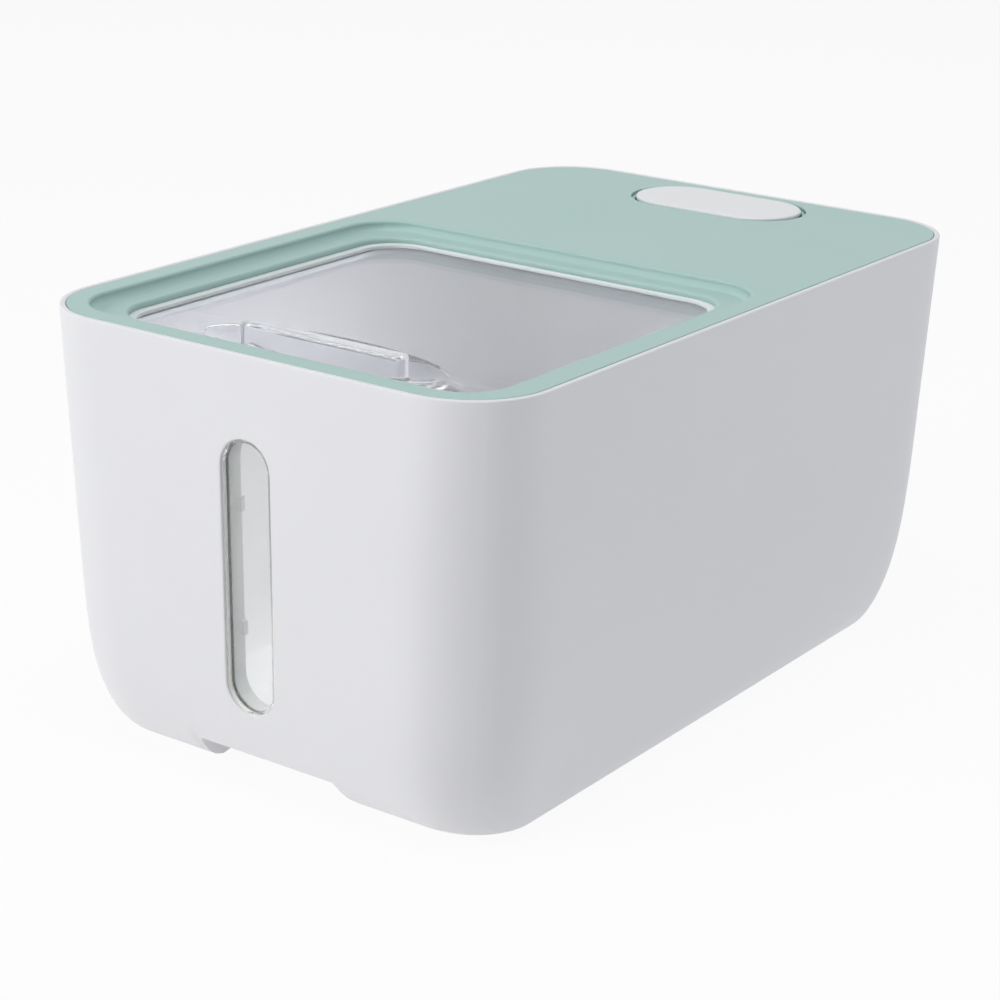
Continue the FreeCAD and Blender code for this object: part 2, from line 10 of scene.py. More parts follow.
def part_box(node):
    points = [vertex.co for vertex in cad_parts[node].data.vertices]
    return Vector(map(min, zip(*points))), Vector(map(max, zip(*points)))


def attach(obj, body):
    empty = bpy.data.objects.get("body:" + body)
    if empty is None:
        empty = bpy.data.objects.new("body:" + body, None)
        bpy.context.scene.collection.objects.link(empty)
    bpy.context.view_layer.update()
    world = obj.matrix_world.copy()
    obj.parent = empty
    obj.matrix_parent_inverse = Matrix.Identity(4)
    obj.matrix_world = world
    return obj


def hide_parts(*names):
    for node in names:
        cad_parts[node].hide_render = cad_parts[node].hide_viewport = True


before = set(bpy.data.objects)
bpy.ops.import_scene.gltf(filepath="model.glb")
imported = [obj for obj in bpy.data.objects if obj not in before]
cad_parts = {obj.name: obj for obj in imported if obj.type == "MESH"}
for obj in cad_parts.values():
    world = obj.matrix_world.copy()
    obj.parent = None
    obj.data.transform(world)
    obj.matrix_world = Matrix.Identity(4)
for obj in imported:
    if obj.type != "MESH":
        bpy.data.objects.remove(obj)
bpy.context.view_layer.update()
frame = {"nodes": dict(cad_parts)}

bl_info = {
    "name": "Pet food container",
    "version": (1, 0, 0),
    "blender": (4, 5, 0),
    "location": "3D View > Sidebar > Container",
    "description": "Finished surfaces for a bin with a mint lid, a clear sliding cover and a sight window",
    "category": "Object",
}

# Shapes are worked out in millimetres and put into the meshes in metres.
MM = 0.001
# Points nearer than MERGE become one, and an edge shorter than TINY is taken out.
MERGE, TINY = 0.002, 0.001
# Small bevels on edges that have no size of their own, and the strip between a rounding and a filled face.
BEVEL, SMALL_BEVEL, STRIP = 0.4, 0.3, 0.5


def span(name):
    """Lowest and highest corner of a CAD node at rest, in millimetres."""
    return [np.array(corner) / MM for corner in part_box(name)]


SHELL = span("body_shell")[1]
LID = span("lid_frame")[1]
LID_LOW = span("lid_frame")[0][2]
COVER_LOW, COVER_HIGH = span("slide_cover")
CAP_LOW, CAP_HIGH = span("desiccant_cap")
PACK_LOW, PACK_HIGH = span("desiccant_pack")
LID_SEAL_LOW, LID_SEAL_HIGH = span("lid_seal")
COVER_SEAL_LOW, COVER_SEAL_HIGH = span("cover_seal")
HALF_X, HALF_Y, RIM = SHELL

# Bin: wall, draft, corner radii, the elliptic rounding of the sides and ends into the floor, the raised
# channel under it, and the shelf that carries the lid.
WALL = 2.5
DRAFT = 4.6
TOP_CORNER = 36.0
LOW_CORNER = 44.0
SIDE_RUN, SIDE_RISE = 14.5, 80.0
END_RUN, END_RISE = 31.0, 48.0
CHANNEL_HALF, CHANNEL_FLARE, CHANNEL_DEPTH = 40.0, 3.2, 15.5
SHELF_TOP, SHELF_THICK, SHELF_REACH = RIM - 14.0, 3.0, 7.5
# Sight window: a round-ended slot in the front wall, measured in the wall's own leaning plane.
SLOT_HALF, SLOT_TALL, SLOT_MIDDLE = 12.2, 57.0, 94.5
LEAN = math.atan(DRAFT / RIM)
FLANGE, LENS_INSET, LENS_GAP, LENS_THICK, WINDOW_SEAL = 4.5, 0.9, 0.1, 1.6, 1.0
# The lens's front is a shallow tray: width of its brim, depth, and radius of the bend between its
# floor and its side.
LENS_BRIM, LENS_DEEP, LENS_BEND = 1.3, 2.6, 0.8
# The patch of the front wall that gives way to the rings round the slot: heights, and half its width.
PATCH_LOW, PATCH_HIGH, PATCH_HALF = 25.0, 163.0, 24.1
# Lid: plate, skirt, sunken step and opening.
LID_THICK, SKIRT_INSET, SKIRT_WALL = 2.5, 1.0, 2.0
LID_CORNER = TOP_CORNER - WALL - 0.3
EDGE_BAND, STEP_DEPTH, STEP_THICK, STEP_WALL = 9.8, 4.4, 2.6, 2.0
STEP_BACK, STEP_CORNER = LID[1] - 156.7, 22.0
OPEN_SIDE, OPEN_FRONT, OPEN_BACK = LID[0] - 22.9, LID[1] - 21.3, STEP_BACK - 10.4
OPEN_CORNER = 20.0
# The photograph shows more of the seal at the sides: the opening's edge is drawn back there.
OPEN_WIDER = 2.0
BOSS_RADIUS, BOSS_HOLE, BOSS_INSET, BOSS_SPREAD = 3.0, 1.4, 5.7, LID[1] - 54.7
LID_SEAL_WIDE, LID_SEAL_ROUND = 4.0, 0.9
COVER_SEAL_WIDE, COVER_SEAL_ROUND = 5.7, 0.6
# Clear cover: plate, oval scoop and hollow fin.
COVER_TOP = COVER_SEAL_LOW[2] - 0.2
COVER_THICK, COVER_CORNER = 2.5, 22.0
SCOOP_LONG, SCOOP_WIDE, SCOOP_DEPTH, SCOOP_WALL = 58.5, 20.0, 9.0, 2.0
SCOOP_MIDDLE = 23.9 - OPEN_FRONT
FIN_LONG, FIN_WIDE, FIN_CORNER, FIN_WALL = 39.5, 4.0, 1.5, 1.6
# Cap over the desiccant tray, and the gap between it and its hole in the lid.
CAP_HALF, CAP_SIDE = CAP_HIGH[0], (CAP_HIGH[1] - CAP_LOW[1]) / 2
CAP_MIDDLE = (CAP_HIGH[1] + CAP_LOW[1]) / 2
CAP_THICK, CAP_SKIRT, CAP_SKIRT_INSET = 2.2, 1.5, 0.5
HOLE_GAP = 1.6
# The photograph shows a wider gap round the cap: it is drawn shorter and narrower by this at each side.
CAP_SHORT, CAP_NARROW = 0.9, 0.4

# The camera, found from the photograph's vanishing lines and the bin's corners. The focal length and
# the centre are in pixels of a frame that is IMAGE wide and high, and SENSOR is in millimetres.
IMAGE = 1000.0
VIEW_AZIMUTH, VIEW_RISE, VIEW_ROLL = math.radians(34.61), math.radians(18.46), math.radians(1.56)
VIEW_DISTANCE = 1.129
VIEW_FOCAL = 2564.3
VIEW_CENTRE = (524.53, 467.49)
SENSOR = 36.0


def unit_outline(front, side, bend):
    """Parts of a rounded outline that don't depend on its size, anticlockwise from the front left.

    Each point is a corner's centre, slid along the side on the straights, plus the corner radius
    along a heading that turns a quarter at each corner. front and side hold the places on the
    straights, from -1 to 1, and bend is the count of steps in each quarter.
    """
    corners = np.array([(-1, -1), (1, -1), (1, 1), (-1, 1)], float)
    turn = np.arange(bend) / bend
    centres, headings = [], []
    for quarter in range(4):
        start, end = corners[quarter], corners[(quarter + 1) % 4]
        places = front if quarter % 2 == 0 else side
        share = (np.asarray(places, float)[:, None] + 1) / 2
        centres += [start + (end - start) * share, np.repeat(end[None], bend, 0)]
        headings += [np.full(len(share), quarter - 1.0), quarter - 1.0 + turn]
    heading = np.concatenate(headings) * math.pi / 2
    return np.concatenate(centres), np.stack([np.cos(heading), np.sin(heading)], 1)


def even(count):
    """Evenly spaced places from -1 up to, and not with, 1."""
    return np.arange(count) / count * 2 - 1


# Outlines for the lid, the cap, the window and the fin.
ROUNDED = unit_outline(even(12), even(12), 16)
LYING = unit_outline(even(24), [], 16)
UPRIGHT = unit_outline([], even(40), 16)
FIN_OUTLINE = unit_outline(even(48), even(6), 6)


def outline(half_x, half_y, corner, mid_y=0.0, unit=ROUNDED):
    """Rings of a rounded rectangle, one for each entry of the sizes, as (ring, point, x and y).

    A point is its corner's centre, drawn in by the corner's radius, plus that radius along its heading.
    """
    centre, heading = unit
    size = np.stack(np.broadcast_arrays(half_x, half_y), -1)[..., None, :]
    bend = np.asarray(corner, float)[..., None, None]
    return centre * (size - bend) + heading * bend + np.array([0.0, mid_y])


def swept(path, half_x, half_y, corner, mid_y=0.0, unit=ROUNDED):
    """A profile of (inset, height) points carried round a rounded rectangle, as (ring, point, xyz).

    Each point of the profile gives one ring: its inset comes off both half sizes and the corner.
    """
    inset, height = np.asarray(path, float).T
    flat = outline(half_x - inset, half_y - inset, np.maximum(corner - inset, 0.01), mid_y, unit)
    return np.concatenate([flat, np.broadcast_to(height[:, None, None], flat.shape[:2] + (1,))], -1)


def arc(middle, radius, start, end, steps=6):
    """Points on an arc of the profile, from one angle to another in degrees.

    Each is the middle plus the radius times the cosine and the sine of its angle.
    """
    angle = np.radians(np.linspace(start, end, steps + 1))
    return np.stack([middle[0] + radius * np.cos(angle), middle[1] + radius * np.sin(angle)], 1).tolist()


def grid(points, around=True, skip=None):
    """Vertices and quads of a grid of points, closed round its second axis unless told otherwise."""
    rows, columns = points.shape[:2]
    index = np.arange(rows * columns).reshape(rows, columns)
    if around:
        index = np.concatenate([index, index[:, :1]], 1)
    quads = np.stack([index[:-1, :-1], index[:-1, 1:], index[1:, 1:], index[1:, :-1]], -1)
    if skip is not None:
        quads = quads[~skip]
    return points.reshape(-1, 3), quads.reshape(-1, 4)


def tube(points):
    """A grid whose last ring joins its first, for a profile that closes on itself."""
    return grid(np.concatenate([points, points[:1]]))


def flat(*loops):
    """A flat face between an outer loop and the holes in it, filled with triangles."""
    return np.concatenate(loops), np.array(tessellate_polygon([loop.tolist() for loop in loops]))


def raised(places, height):
    """Flat places as points in space, at one height or at a column of heights."""
    return np.concatenate([places, np.broadcast_to(height, (len(places), 1))], 1)


def make(name, patches, sharp=38.0):
    """Joins patches into one closed mesh with outward faces, smooth but for its sharp edges."""
    points, faces, start = [], [], 0
    for vertices, polygons in patches:
        points.append(vertices)
        faces += (polygons + start).tolist()
        start += len(vertices)
    mesh = bpy.data.meshes.new(name)
    mesh.from_pydata(np.concatenate(points) * MM, [], faces)
    work = bmesh.new()
    work.from_mesh(mesh)
    bmesh.ops.remove_doubles(work, verts=work.verts, dist=MERGE * MM)
    bmesh.ops.dissolve_degenerate(work, edges=work.edges, dist=TINY * MM)
    open_edges = sum(len(edge.link_faces) != 2 for edge in work.edges)
    if open_edges:
        raise RuntimeError("%s isn't closed: %d edges" % (name, open_edges))
    bmesh.ops.recalc_face_normals(work, faces=work.faces)
    work.to_mesh(mesh)
    work.free()
    mesh.polygons.foreach_set("use_smooth", np.ones(len(mesh.polygons), bool))
    mesh.set_sharp_from_angle(angle=math.radians(sharp))
    piece = bpy.data.objects.new(name, mesh)
    bpy.context.scene.collection.objects.link(piece)
    return piece


def fit(piece, body, slot, material, *nodes):
    """Gives a piece its finish and its body, and hides the CAD nodes that it stands for. Its slot is not
    used.
    """
    piece.data.materials.append(material)
    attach(piece, body)
    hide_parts(*nodes)


def coat(names, material):
    """Gives CAD nodes whose shape is right a finish of their own."""
    for name in names:
        for place in frame["nodes"][name].material_slots:
            place.material = material


# Finishes


def linear(code):
    """An sRGB hex colour as linear red, green, blue and alpha."""
    values = [int(code[place:place + 2], 16) / 255 for place in (1, 3, 5)]
    return tuple(v / 12.92 if v <= 0.04045 else ((v + 0.055) / 1.055) ** 2.4 for v in values) + (1.0,)


def add(tree, kind, inputs=None, **settings):
    """Adds a node with its settings; an input is a value, or another node's output to link."""
    made = tree.nodes.new(kind)
    for name, value in settings.items():
        setattr(made, name, value)
    for name, value in (inputs or {}).items():
        if isinstance(value, bpy.types.NodeSocket):
            tree.links.new(value, made.inputs[name])
        else:
            made.inputs[name].default_value = value
    return made


def new_finish(name):
    """A material with an empty node tree, and that tree."""
    material = bpy.data.materials.new(name)
    material.use_nodes = True
    material.node_tree.nodes.clear()
    return material, material.node_tree


def moulded(name, colour, roughness, ior=1.49, grain=0.8, relief=0.012, shade=0.02, soft=0.0):
    """A moulded polymer: an even colour with slow flow shading, and a fine satin grain.

    grain is the size of the mould's texture in millimetres and relief its depth. Both are a few
    times the real ones, which are too fine to show. shade is how far the colour drifts, over about
    90 mm, as the melt's flow does. soft is the share of light that goes 2 mm into the polymer.
    The specular level is 0.3 and not 0.5, because the photograph shows little shine.
    """
    material, tree = new_finish(name)
    place = add(tree, "ShaderNodeTexCoord").outputs["Object"]
    drift = add(tree, "ShaderNodeTexNoise", {"Vector": place, "Scale": 1 / (90 * MM), "Detail": 2.0})
    tone = add(tree, "ShaderNodeMapRange", {
        "Value": drift.outputs["Fac"], "From Min": 0.3, "From Max": 0.7, "To Min": 1 - shade,
        "To Max": 1.0})
    base = add(tree, "ShaderNodeMix", {"Factor": 1.0, "A": colour, "B": tone.outputs["Result"]},
               data_type="RGBA", blend_type="MULTIPLY")
    texture = add(tree, "ShaderNodeTexNoise", {"Vector": place, "Scale": 1 / (grain * MM), "Detail": 3.0})
    bump = add(tree, "ShaderNodeBump", {"Height": texture.outputs["Fac"], "Strength": 0.35,
                                        "Distance": relief * MM})
    gloss = add(tree, "ShaderNodeMapRange", {
        "Value": drift.outputs["Fac"], "From Min": 0.3, "From Max": 0.7, "To Min": roughness - 0.03,
        "To Max": roughness + 0.03})
    surface = add(tree, "ShaderNodeBsdfPrincipled", {
        "Base Color": base.outputs["Result"], "Roughness": gloss.outputs["Result"], "IOR": ior,
        "Specular IOR Level": 0.3, "Normal": bump.outputs["Normal"], "Subsurface Weight": soft,
        "Subsurface Scale": 2 * MM, "Subsurface Radius": (1.0, 1.0, 1.0)})
    add(tree, "ShaderNodeOutputMaterial", {"Surface": surface.outputs["BSDF"]})
    return material


def clear(name, colour, roughness, ior, through):
    """A clear moulded polymer: lamps pass through it, so what is behind it stays lit.

    through is the share of light that its haze lets past. The mould's flow marks are about 45 mm
    apart and barely bend what shows through.
    """
    material, tree = new_finish(name)
    place = add(tree, "ShaderNodeTexCoord").outputs["Object"]
    flow = add(tree, "ShaderNodeTexNoise", {"Vector": place, "Scale": 1 / (45 * MM), "Detail": 1.0})
    bump = add(tree, "ShaderNodeBump", {"Height": flow.outputs["Fac"], "Strength": 0.15,
                                        "Distance": 0.1 * MM})
    surface = add(tree, "ShaderNodeBsdfPrincipled", {
        "Base Color": colour, "Roughness": roughness, "IOR": ior, "Transmission Weight": through,
        "Normal": bump.outputs["Normal"]})
    past = add(tree, "ShaderNodeBsdfTransparent", {"Color": colour})
    shadow = add(tree, "ShaderNodeLightPath").outputs["Is Shadow Ray"]
    mixed = add(tree, "ShaderNodeMixShader", {0: shadow, 1: surface.outputs["BSDF"],
                                              2: past.outputs["BSDF"]})
    add(tree, "ShaderNodeOutputMaterial", {"Surface": mixed.outputs["Shader"]})
    return material


def steel(name):
    """Zinc plated steel: bright, with an uneven polish that breaks up its reflections.

    Its spots are 0.7 mm wide, a few times the real ones, so that they show.
    """
    material, tree = new_finish(name)
    place = add(tree, "ShaderNodeTexCoord").outputs["Object"]
    wear = add(tree, "ShaderNodeTexNoise", {"Vector": place, "Scale": 1 / (0.7 * MM), "Detail": 4.0})
    gloss = add(tree, "ShaderNodeMapRange", {"Value": wear.outputs["Fac"], "To Min": 0.22, "To Max": 0.42})
    surface = add(tree, "ShaderNodeBsdfPrincipled", {
        "Base Color": linear("#C4C7CA"), "Metallic": 1.0, "Roughness": gloss.outputs["Result"]})
    add(tree, "ShaderNodeOutputMaterial", {"Surface": surface.outputs["BSDF"]})
    return material


def paper(name):
    """Spun paper of a desiccant sachet: matt, mottled by fibres.

    They are 1.2 mm apart, a few times as far as the real ones, so that they show.
    """
    material, tree = new_finish(name)
    place = add(tree, "ShaderNodeTexCoord").outputs["Object"]
    fibres = add(tree, "ShaderNodeTexNoise", {"Vector": place, "Scale": 1 / (1.2 * MM), "Detail": 6.0,
                                              "Distortion": 1.5})
    tone = add(tree, "ShaderNodeMapRange", {"Value": fibres.outputs["Fac"], "To Min": 0.86, "To Max": 1.0})
    base = add(tree, "ShaderNodeMix", {"Factor": 1.0, "A": linear("#F1EFE9"), "B": tone.outputs["Result"]},
               data_type="RGBA", blend_type="MULTIPLY")
    bump = add(tree, "ShaderNodeBump", {"Height": fibres.outputs["Fac"], "Strength": 0.5,
                                        "Distance": 0.08 * MM})
    surface = add(tree, "ShaderNodeBsdfPrincipled", {
        "Base Color": base.outputs["Result"], "Roughness": 0.9, "IOR": 1.5,
        "Normal": bump.outputs["Normal"]})
    add(tree, "ShaderNodeOutputMaterial", {"Surface": surface.outputs["BSDF"]})
    return material


# Bin


def wall_at(height, inset=0.0):
    """Half width, half length and corner radius of the bin at a height.

    The walls draw in by the draft towards the floor, and a quarter of an ellipse rounds each side
    and each end into the floor.
    """
    fade = 1 - height / RIM
    side = SIDE_RUN * (1 - np.sqrt(1 - (np.maximum(0, SIDE_RISE - height) / SIDE_RISE) ** 2))
    end = END_RUN * (1 - np.sqrt(1 - (np.maximum(0, END_RISE - height) / END_RISE) ** 2))
    corner = TOP_CORNER + (LOW_CORNER - TOP_CORNER) * fade - (side + end) / 2
    return HALF_X - DRAFT * fade - side - inset, HALF_Y - DRAFT * fade - end - inset, corner - inset


def channel(x, spread=0.0):
    """Rise of the raised channel under the bin, between its two flared sides.

    It is the channel's depth times three squares less two cubes of the share of the flare crossed.
    """
    share = np.clip((CHANNEL_HALF + spread - np.abs(x)) / CHANNEL_FLARE, 0, 1)
    return CHANNEL_DEPTH * share * share * (3 - 2 * share)


def inner_section(height):
    """The height on the outside whose section, one wall in, the inside has at this height."""
    return (height - WALL) / (1 - WALL / RIM)


# Places along the straight stretch of the bin's front and back, from the middle out: close together
# over the channel's flares. WALL_BEND is the count of steps round each of its corners.
FLARE_IN, FLARE_OUT, STRAIGHT = 34.0, 43.0, 74.6
WALL_STOPS = np.concatenate([np.linspace(start, end, count)[:-1] for start, end, count in (
    (-STRAIGHT, -FLARE_OUT, 7), (-FLARE_OUT, -FLARE_IN, 17), (-FLARE_IN, FLARE_IN, 21),
    (FLARE_IN, FLARE_OUT, 17), (FLARE_OUT, STRAIGHT, 7))]) / STRAIGHT
WALL_BEND = 14
WALL_OUTLINE = unit_outline(WALL_STOPS, WALL_STOPS, WALL_BEND)


def wall_grid(heights, inset):
    """Rings of the bin's outside or inside, lifted over the channel and back in step by the rim.

    A point is lifted by the channel's rise times the cube of the share of the height left above it,
    and has the section of its new height. The inset lifts it too, less and less towards the rim.
    """
    centre, heading = WALL_OUTLINE
    half_x, half_y, corner = wall_at(heights, inset)
    first = outline(half_x, half_y, corner, unit=WALL_OUTLINE)
    lift = channel(first[..., 0], inset) * (1 - heights[:, None] / RIM) ** 3
    lifted = heights[:, None] + lift
    half_x, half_y, corner = wall_at(lifted, inset)
    x = centre[:, 0] * (half_x - corner) + heading[:, 0] * corner
    y = centre[:, 1] * (half_y - corner) + heading[:, 1] * corner
    return np.stack([x, y, lifted + inset * (1 - lifted / RIM)], -1)


def floor_patch(ring, inset):
    """The floor inside a ring: a blend of its four sides, with the channel's rise as its height.

    Its lines run straight from the front to the back. What the ring's left and right sides bulge from
    a straight line is added, times the fourth power of the nearness to each.
    """
    count = len(WALL_STOPS) + WALL_BEND
    turned = np.roll(ring, WALL_BEND // 2, axis=0)
    front, right = turned[:count + 1], turned[count:2 * count + 1]
    back = turned[2 * count:3 * count + 1][::-1]
    left = np.roll(turned, -3 * count, axis=0)[:count + 1][::-1]
    share = np.linspace(0, 1, count + 1)
    near, far = (1 - share)[:, None, None] ** 4, share[:, None, None] ** 4
    level = share[None, :, None]
    rows = front[:, None] * (1 - level) + back[:, None] * level
    first = left[None] - (left[0] * (1 - level) + left[-1] * level)
    last = right[None] - (right[0] * (1 - level) + right[-1] * level)
    patch = rows + near * first + far * last
    height = inset + channel(patch[..., 0], inset) * (1 - inset / RIM)
    patch[1:-1, 1:-1, 2] = height[1:-1, 1:-1]
    return patch


def on_wall(across, depth, up):
    """Points given across, into and up the leaning front wall, in the bin's own frame."""
    across, depth, up = np.broadcast_arrays(across, depth, up)
    base = DRAFT * (1 - SLOT_MIDDLE / RIM) - HALF_Y
    return np.stack([across, base + depth * math.cos(LEAN) - up * math.sin(LEAN),
                     SLOT_MIDDLE + depth * math.sin(LEAN) + up * math.cos(LEAN)], -1)


def window_hole(points, inside, rounding):
    """Leaves a patch of the front wall out of a grid, and gives the rings from it to the slot.

    A point on the patch's edge runs to the nearest point of the slot: straight across beside it,
    and along a radius above and below it.
    """
    straight = slice(0, len(WALL_STOPS))
    columns = np.flatnonzero(np.abs(WALL_STOPS * STRAIGHT) < PATCH_HALF)
    left, right = columns[0], columns[-1]
    heights = points[:, straight, 2][:, left]
    rows = np.flatnonzero((heights > PATCH_LOW) & (heights < PATCH_HIGH))
    low, high = rows.min(), rows.max()
    skip = np.zeros((points.shape[0] - 1, points.shape[1]), bool)
    skip[low:high, left:right] = True
    edge = np.concatenate([points[low, left:right], points[low:high, right],
                           points[high, right:left:-1], points[high:low:-1, left]])
    across, up = edge[:, 0], (edge[:, 2] - SLOT_MIDDLE) / math.cos(LEAN)
    middle = np.clip(up, SLOT_HALF - SLOT_TALL, SLOT_TALL - SLOT_HALF)
    away = np.hypot(across, up - middle)
    toward = np.stack([across / away, (up - middle) / away])

    def ring(reach, depth):
        """The points at a distance from the slot's core, set into the wall from its own surface."""
        x, z = toward[0] * reach, middle + toward[1] * reach
        height = SLOT_MIDDLE + z * math.cos(LEAN)
        section = inner_section(height) if inside else height
        plane = DRAFT * (1 - height / RIM) - HALF_Y
        surface = -wall_at(section, WALL if inside else 0.0)[1] - plane
        return on_wall(x, np.maximum(surface, depth) if inside else surface + depth, z)

    rings = [edge]
    if inside:
        seat = SLOT_HALF + FLANGE
        rings += [ring(away + (seat + BEVEL - away) * share, WALL) for share in (0.3, 0.6, 0.85)]
        rings += [on_wall(toward[0] * reach, WALL, middle + toward[1] * reach)
                  for reach in (seat + BEVEL, seat)]
    else:
        outer = SLOT_HALF + rounding
        rings += [ring(away + (outer - away) * share, 0.0) for share in (0.25, 0.5, 0.75, 0.93, 1.0)]
        turn = np.radians(np.linspace(15, 90, 6))
        rings += [ring(outer - rounding * math.sin(angle), rounding * (1 - math.cos(angle)))
                  for angle in turn]
        rings += [on_wall(toward[0] * SLOT_HALF, WALL, middle + toward[1] * SLOT_HALF)]
    return skip, np.stack(rings)


def build_shell(sizes, material):
    """The bin in one skin: outside, rolled rim, inside with its lid shelf, floor, channel and slot.

    The rings' heights go up the rounded foot as one less a cosine, and evenly from there to the rim,
    whose two edges are quarter circles.
    """
    rounding = sizes.rim_round / MM
    foot = SIDE_RISE * (1 - np.cos(np.radians(np.linspace(0, 90, 25))))
    upright = np.linspace(SIDE_RISE, RIM - rounding, 15)[1:]
    outside = wall_grid(np.concatenate([foot, upright]), 0.0)
    skip_out, hole_out = window_hole(outside, False, sizes.slot_round / MM)

    upright = np.linspace(SIDE_RISE, inner_section(SHELF_TOP - SHELF_THICK), 13)[1:]
    inside = wall_grid(np.concatenate([foot, upright]), WALL)
    skip_in, hole_in = window_hole(inside, True, 0.0)

    roll = np.array(arc((rounding, RIM - rounding), rounding, 180, 90) +
                    arc((WALL - rounding, RIM - rounding), rounding, 90, 0))
    half_x, half_y, corner = wall_at(RIM - rounding)
    rim = swept(roll, half_x, half_y, corner, unit=WALL_OUTLINE)
    upper = wall_grid(np.linspace(inner_section(RIM - rounding), inner_section(SHELF_TOP), 4), WALL)
    rim[-1] = upper[0]
    shelf_x, shelf_y = HALF_X - WALL - SHELF_REACH, HALF_Y - WALL - SHELF_REACH
    ease = 0.5
    path = (arc((ease, SHELF_TOP - ease), ease, 90, 180, 4) +
            arc((ease, SHELF_TOP - SHELF_THICK + ease), ease, 180, 270, 4))
    shelf = swept(path, shelf_x, shelf_y, TOP_CORNER - WALL - SHELF_REACH, unit=WALL_OUTLINE)
    skin = np.concatenate([outside[-1:], rim[1:], upper[1:], shelf, inside[-1:]])
    patches = [grid(outside, skip=skip_out), grid(hole_out), grid(skin), grid(inside, skip=skip_in),
               grid(hole_in), flat(hole_in[-1], hole_out[-1]),
               grid(floor_patch(outside[0], 0.0), around=False),
               grid(floor_patch(inside[0], WALL), around=False)]
    fit(make("bin_shell", patches), "bin", "white_shell", material, "body_shell")


# Sight window


def wall_swept(path, half_x, half_y):
    """A profile of (inset, depth) points carried round an upright slot in the front wall."""
    rings = swept(path, half_x, half_y, half_x, unit=UPRIGHT)
    return on_wall(rings[..., 0], rings[..., 2], rings[..., 1])


def build_lens(material):
    """The clear lens: a shallow tray that fills the slot, on a thin flange behind the wall.

    It is one profile of lines and quarter circles, carried round the slot.
    """
    ease, bevel, bend, rear = 0.5, SMALL_BEVEL, LENS_BEND, 1.2
    flange_front = WALL + WINDOW_SEAL
    flange_back = flange_front + LENS_THICK
    reach = FLANGE + LENS_GAP
    floor = LENS_INSET + LENS_DEEP
    path = [(LENS_BRIM + 2 * bend, floor)] + arc((LENS_BRIM + bend, floor - bend), bend, 90, 180)
    path += arc((LENS_BRIM - bevel, LENS_INSET + bevel), bevel, 0, -90, 3)
    path += arc((ease, LENS_INSET + ease), ease, 270, 180)
    path += arc((-ease, flange_front - ease), ease, 0, 90, 4)
    path += [(bevel - reach, flange_front), (-reach, flange_front + bevel), (-reach, flange_back - bevel),
             (bevel - reach, flange_back), (rear, flange_back)]
    rings = wall_swept(path, SLOT_HALF - LENS_GAP, SLOT_TALL - LENS_GAP)
    fit(make("sight_lens", [grid(rings), flat(rings[0]), flat(rings[-1])]),
        "bin", "clear_plastic", material, "window_lens")


def build_window_seal(material):
    """The soft ring between the wall and the lens's flange: a rounded square carried round the slot."""
    low, high = WALL, WALL + WINDOW_SEAL
    reach, wide, ease = FLANGE, FLANGE - LENS_GAP, 0.35
    path = (arc((ease - reach, low + ease), ease, 180, 270, 4) +
            arc((wide - reach - ease, low + ease), ease, 270, 360, 4) +
            arc((wide - reach - ease, high - ease), ease, 0, 90, 4) +
            arc((ease - reach, high - ease), ease, 90, 180, 4))
    rings = wall_swept(path, SLOT_HALF, SLOT_TALL)
    fit(make("lens_gasket", [tube(rings)]), "bin", "silicone", material, "window_seal")


# Lid and seals


